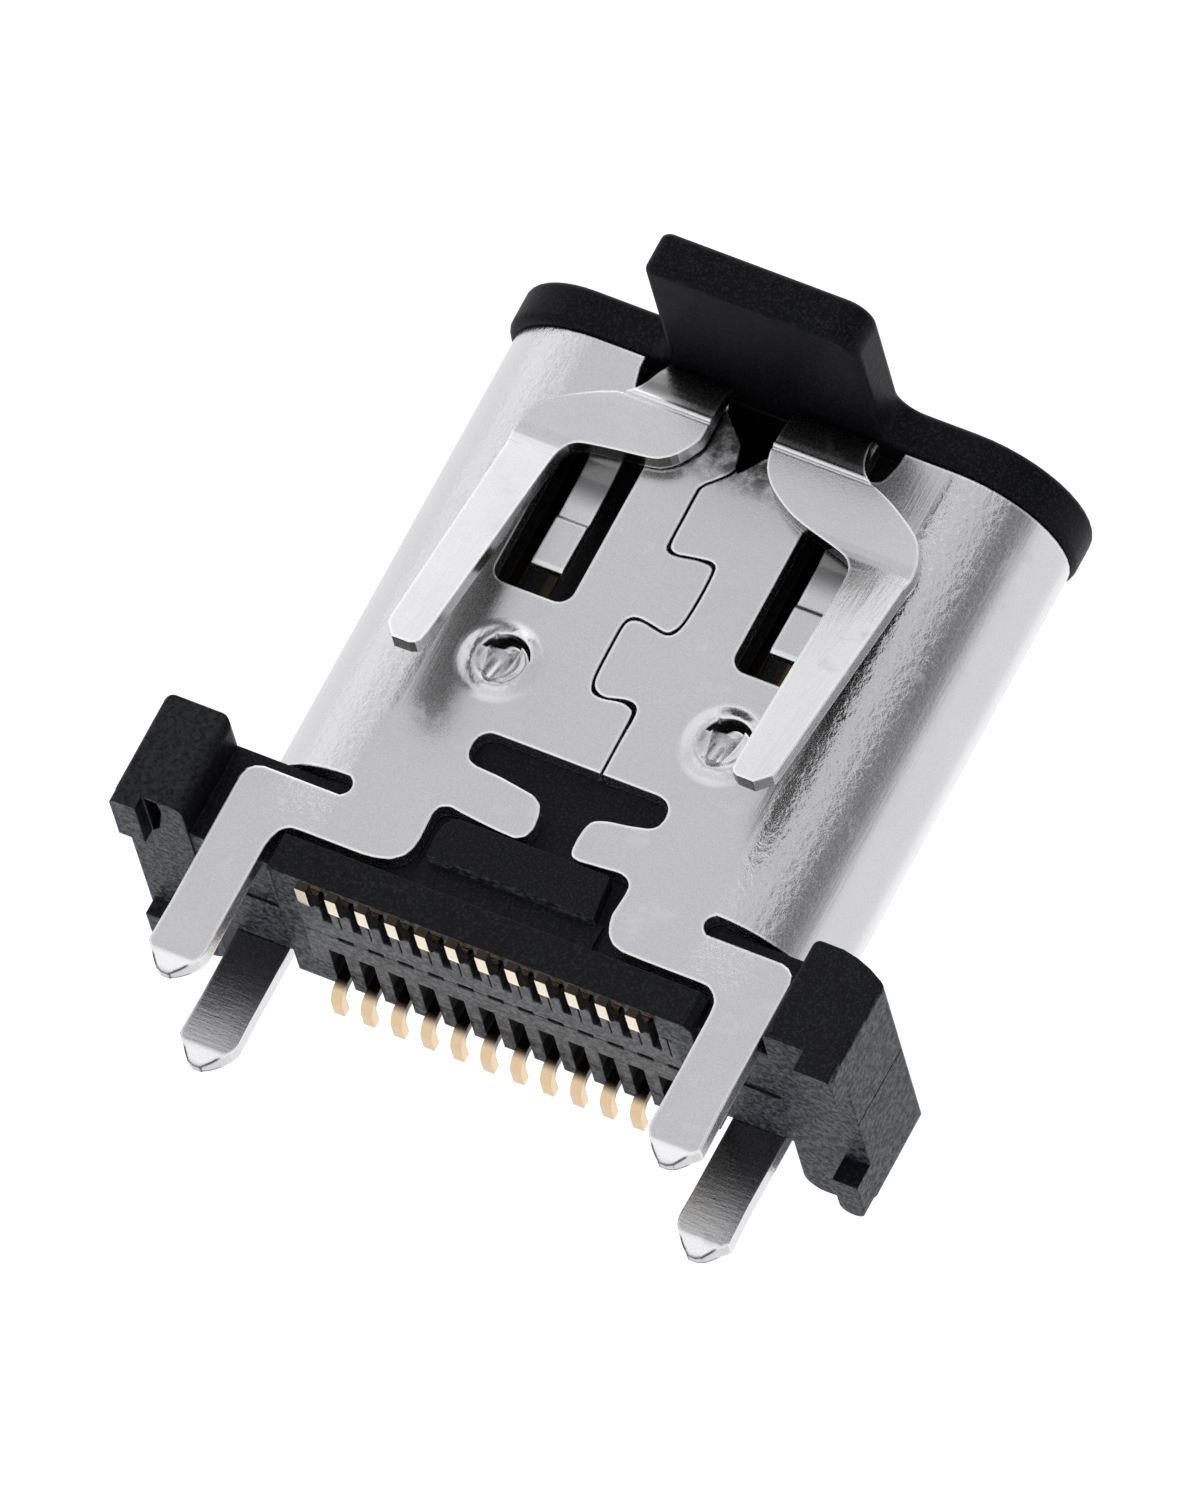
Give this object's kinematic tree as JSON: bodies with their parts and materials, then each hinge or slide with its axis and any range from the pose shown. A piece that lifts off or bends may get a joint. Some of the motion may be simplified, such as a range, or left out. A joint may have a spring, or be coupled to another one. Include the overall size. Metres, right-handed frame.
{
  "type": "usb type-c connector",
  "caption": "Vertical board-mount receptacle: wrapped metal shell with spring beams and through-board legs, black housing, gold contacts and a pull-off pick-up cap.",
  "frame": {"origin": "middle of the board seating plane, between the four legs", "axes": "+X along the long side of the mouth, -Y out of the face with the folded seam, +Z the way a plug pulls out"},
  "size_m": [0.012, 0.0072, 0.0126],
  "materials": {
    "plated_sheet": "satin plated sheet with fine rolling grain, bright cut edges",
    "plate_steel": "satin",
    "housing_plastic": "fine grained matt moulding",
    "carrier_plastic": "matt moulding",
    "cap_plastic": "matt moulding, slightly darker than the housing",
    "contact_gold": "gold-plated strip"
  },
  "bodies": {
    "connector": {"shell": "plated_sheet", "base_housing": "housing_plastic", "front_contact_carrier": "carrier_plastic", "rear_contact_carrier": "carrier_plastic", "tongue": "carrier_plastic", "mid_plate": "plate_steel", "front_ground_pad": "plate_steel", "rear_ground_pad": "plate_steel", "contact_front_01": "contact_gold", "contact_front_02": "contact_gold", "contact_front_03": "contact_gold", "contact_front_04": "contact_gold", "contact_front_05": "contact_gold", "contact_front_06": "contact_gold", "contact_front_07": "contact_gold", "contact_front_08": "contact_gold", "contact_front_09": "contact_gold", "contact_front_10": "contact_gold", "contact_front_11": "contact_gold", "contact_front_12": "contact_gold", "contact_rear_01": "contact_gold", "contact_rear_02": "contact_gold", "contact_rear_03": "contact_gold", "contact_rear_04": "contact_gold", "contact_rear_05": "contact_gold", "contact_rear_06": "contact_gold", "contact_rear_07": "contact_gold", "contact_rear_08": "contact_gold", "contact_rear_09": "contact_gold", "contact_rear_10": "contact_gold", "contact_rear_11": "contact_gold", "contact_rear_12": "contact_gold"},
    "cap": {"pick_up_cap": "cap_plastic"}
  },
  "joints": [
    {"name": "cap_pull", "type": "slide", "parent": "connector", "child": "cap", "axis": [0, 0, 1], "range_m": [0, 0.008]}
  ]
}
